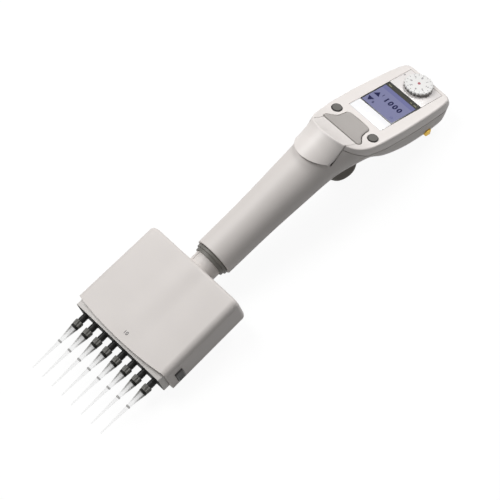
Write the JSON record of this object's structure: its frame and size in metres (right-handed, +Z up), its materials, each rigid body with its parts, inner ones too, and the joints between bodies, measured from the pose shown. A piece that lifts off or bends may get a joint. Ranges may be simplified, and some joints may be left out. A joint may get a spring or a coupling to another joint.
{
  "type": "electronic multichannel pipette",
  "caption": "Hand-held electronic pipette with a row of tips, a flat swivelling lower part, a round handle and a tilted head with display, keys, dial and thumb ejector.",
  "frame": {"origin": "bottom centre of the bounding box, with the pipette lying on its back", "axes": "+X along the channel row, +Y from the tips towards the head, +Z up from the bench"},
  "size_m": [0.0818, 0.3048, 0.0572],
  "materials": {
    "pale_housing": "satin moulded",
    "white_panel": "smooth",
    "mid_grey": "satin moulded",
    "dark_grey": "satin moulded",
    "dark_grip": "soft matte",
    "black_plastic": "satin moulded",
    "clear_tip": "translucent",
    "display_blue": "polished",
    "steel": "ground",
    "cast_carrier": "machined",
    "gold_contact": "gold plated",
    "circuit_board": "solder mask",
    "battery_wrap": "shrink wrap"
  },
  "bodies": {
    "handle": {"head_front_shell": "pale_housing", "handle_front_shell": "pale_housing", "rear_shell": "pale_housing", "battery_cover": "pale_housing", "label_panel": "white_panel", "dial_panel": "pale_housing", "display_window": "display_blue", "display_module": "black_plastic", "main_board": "circuit_board", "battery": "battery_wrap", "coupling_ring": "mid_grey", "drive_motor": "steel", "motor_bracket": "mid_grey", "finger_rest": "dark_grip", "left_charging_contact": "gold_contact", "right_charging_contact": "gold_contact"},
    "selection_dial": {"selection_dial": "white_panel"},
    "rocker_key": {"rocker_key": "mid_grey"},
    "left_softkey": {"left_softkey": "dark_grey"},
    "right_softkey": {"right_softkey": "dark_grey"},
    "ejector_button": {"ejector_button": "pale_housing", "ejector_rod": "steel"},
    "lower_body": {"neck_tube": "pale_housing", "lower_front_shell": "pale_housing", "lower_back_shell": "pale_housing", "cone_plate": "black_plastic", "cone_retainer": "pale_housing"},
    "ejector_comb": {"ejector_comb": "pale_housing", "ejector_yoke": "pale_housing", "ejector_sleeve": "pale_housing", "ejector_spring": "steel"},
    "lead_screw": {"lead_screw": "steel"},
    "drive_rod": {"drive_rod": "steel"},
    "piston_carrier": {"piston_carrier": "cast_carrier", "piston_1": "steel", "piston_2": "steel", "piston_3": "steel", "piston_4": "steel", "piston_5": "steel", "piston_6": "steel", "piston_7": "steel", "piston_8": "steel"},
    "left_latch": {"left_latch": "dark_grey"},
    "right_latch": {"right_latch": "dark_grey"},
    "nose_cone_1": {"nose_cone_1": "black_plastic"},
    "nose_cone_2": {"nose_cone_2": "black_plastic"},
    "nose_cone_3": {"nose_cone_3": "black_plastic"},
    "nose_cone_4": {"nose_cone_4": "black_plastic"},
    "nose_cone_5": {"nose_cone_5": "black_plastic"},
    "nose_cone_6": {"nose_cone_6": "black_plastic"},
    "nose_cone_7": {"nose_cone_7": "black_plastic"},
    "nose_cone_8": {"nose_cone_8": "black_plastic"},
    "tip_1": {"tip_1": "clear_tip"},
    "tip_2": {"tip_2": "clear_tip"},
    "tip_3": {"tip_3": "clear_tip"},
    "tip_4": {"tip_4": "clear_tip"},
    "tip_5": {"tip_5": "clear_tip"},
    "tip_6": {"tip_6": "clear_tip"},
    "tip_7": {"tip_7": "clear_tip"},
    "tip_8": {"tip_8": "clear_tip"}
  },
  "joints": [
    {"name": "lower_swivel", "type": "hinge", "parent": "handle", "child": "lower_body", "pos_m": [0, -0.02983, 0.02273], "axis": [0, 0.9877, 0.1563], "continuous": true},
    {"name": "dial_turn", "type": "hinge", "parent": "handle", "child": "selection_dial", "pos_m": [0, 0.14201, 0.02077], "axis": [0, 0.3273, 0.9449], "continuous": true},
    {"name": "rocker_tilt", "type": "hinge", "parent": "handle", "child": "rocker_key", "pos_m": [0, 0.08471, 0.03957], "axis": [1, 0, 0], "range_deg": [-3, 3], "stiffness_Nm_per_rad": 0.1},
    {"name": "left_softkey_press", "type": "slide", "parent": "handle", "child": "left_softkey", "axis": [0, -0.3273, -0.9449], "range_m": [0, 0.0008], "stiffness_N_per_m": 1000},
    {"name": "right_softkey_press", "type": "slide", "parent": "handle", "child": "right_softkey", "axis": [0, -0.3273, -0.9449], "range_m": [0, 0.0008], "stiffness_N_per_m": 1000},
    {"name": "ejector_press", "type": "slide", "parent": "handle", "child": "ejector_button", "axis": [0, -0.9877, -0.1563], "range_m": [0, 0.009], "stiffness_N_per_m": 500},
    {"name": "ejector_comb_push", "type": "slide", "parent": "lower_body", "child": "ejector_comb", "axis": [0, -0.9877, -0.1563], "range_m": [0, 0.009], "deforming": ["ejector_spring"]},
    {"name": "drive_lift", "type": "slide", "parent": "handle", "child": "drive_rod", "axis": [0, 0.9877, 0.1563], "range_m": [0, 0.01]},
    {"name": "piston_lift", "type": "slide", "parent": "lower_body", "child": "piston_carrier", "axis": [0, 0.9877, 0.1563], "range_m": [0, 0.01]},
    {"name": "lead_screw_turn", "type": "hinge", "parent": "handle", "child": "lead_screw", "pos_m": [0, 0.01808, 0.03031], "axis": [0, -0.9877, -0.1563], "range_deg": [0, 1800]},
    {"name": "left_latch_press", "type": "slide", "parent": "lower_body", "child": "left_latch", "axis": [1, 0, 0], "range_m": [0, 0.001], "stiffness_N_per_m": 2000},
    {"name": "right_latch_press", "type": "slide", "parent": "lower_body", "child": "right_latch", "axis": [-1, 0, 0], "range_m": [0, 0.001], "stiffness_N_per_m": 2000},
    {"name": "nose_cone_1_give", "type": "slide", "parent": "lower_body", "child": "nose_cone_1", "axis": [0, 0.9877, 0.1563], "range_m": [0, 0.0012], "stiffness_N_per_m": 800},
    {"name": "nose_cone_2_give", "type": "slide", "parent": "lower_body", "child": "nose_cone_2", "axis": [0, 0.9877, 0.1563], "range_m": [0, 0.0012], "stiffness_N_per_m": 800},
    {"name": "nose_cone_3_give", "type": "slide", "parent": "lower_body", "child": "nose_cone_3", "axis": [0, 0.9877, 0.1563], "range_m": [0, 0.0012], "stiffness_N_per_m": 800},
    {"name": "nose_cone_4_give", "type": "slide", "parent": "lower_body", "child": "nose_cone_4", "axis": [0, 0.9877, 0.1563], "range_m": [0, 0.0012], "stiffness_N_per_m": 800},
    {"name": "nose_cone_5_give", "type": "slide", "parent": "lower_body", "child": "nose_cone_5", "axis": [0, 0.9877, 0.1563], "range_m": [0, 0.0012], "stiffness_N_per_m": 800},
    {"name": "nose_cone_6_give", "type": "slide", "parent": "lower_body", "child": "nose_cone_6", "axis": [0, 0.9877, 0.1563], "range_m": [0, 0.0012], "stiffness_N_per_m": 800},
    {"name": "nose_cone_7_give", "type": "slide", "parent": "lower_body", "child": "nose_cone_7", "axis": [0, 0.9877, 0.1563], "range_m": [0, 0.0012], "stiffness_N_per_m": 800},
    {"name": "nose_cone_8_give", "type": "slide", "parent": "lower_body", "child": "nose_cone_8", "axis": [0, 0.9877, 0.1563], "range_m": [0, 0.0012], "stiffness_N_per_m": 800},
    {"name": "tip_1_release", "type": "slide", "parent": "nose_cone_1", "child": "tip_1", "axis": [0, -0.9877, -0.1563], "range_m": [0, 0.0053]},
    {"name": "tip_2_release", "type": "slide", "parent": "nose_cone_2", "child": "tip_2", "axis": [0, -0.9877, -0.1563], "range_m": [0, 0.0053]},
    {"name": "tip_3_release", "type": "slide", "parent": "nose_cone_3", "child": "tip_3", "axis": [0, -0.9877, -0.1563], "range_m": [0, 0.0053]},
    {"name": "tip_4_release", "type": "slide", "parent": "nose_cone_4", "child": "tip_4", "axis": [0, -0.9877, -0.1563], "range_m": [0, 0.0053]},
    {"name": "tip_5_release", "type": "slide", "parent": "nose_cone_5", "child": "tip_5", "axis": [0, -0.9877, -0.1563], "range_m": [0, 0.0053]},
    {"name": "tip_6_release", "type": "slide", "parent": "nose_cone_6", "child": "tip_6", "axis": [0, -0.9877, -0.1563], "range_m": [0, 0.0053]},
    {"name": "tip_7_release", "type": "slide", "parent": "nose_cone_7", "child": "tip_7", "axis": [0, -0.9877, -0.1563], "range_m": [0, 0.0053]},
    {"name": "tip_8_release", "type": "slide", "parent": "nose_cone_8", "child": "tip_8", "axis": [0, -0.9877, -0.1563], "range_m": [0, 0.0053]}
  ],
  "couplings": [
    {"joint": "ejector_comb_push", "follows": "ejector_press", "ratio": 1},
    {"joint": "piston_lift", "follows": "drive_lift", "ratio": 1},
    {"joint": "lead_screw_turn", "follows": "drive_lift", "rad_per_m": 3141.6},
    {"joint": "tip_1_release", "follows": "ejector_press", "ratio": 0.58},
    {"joint": "tip_2_release", "follows": "ejector_press", "ratio": 0.58},
    {"joint": "tip_3_release", "follows": "ejector_press", "ratio": 0.58},
    {"joint": "tip_4_release", "follows": "ejector_press", "ratio": 0.58},
    {"joint": "tip_5_release", "follows": "ejector_press", "ratio": 0.58},
    {"joint": "tip_6_release", "follows": "ejector_press", "ratio": 0.58},
    {"joint": "tip_7_release", "follows": "ejector_press", "ratio": 0.58},
    {"joint": "tip_8_release", "follows": "ejector_press", "ratio": 0.58}
  ]
}
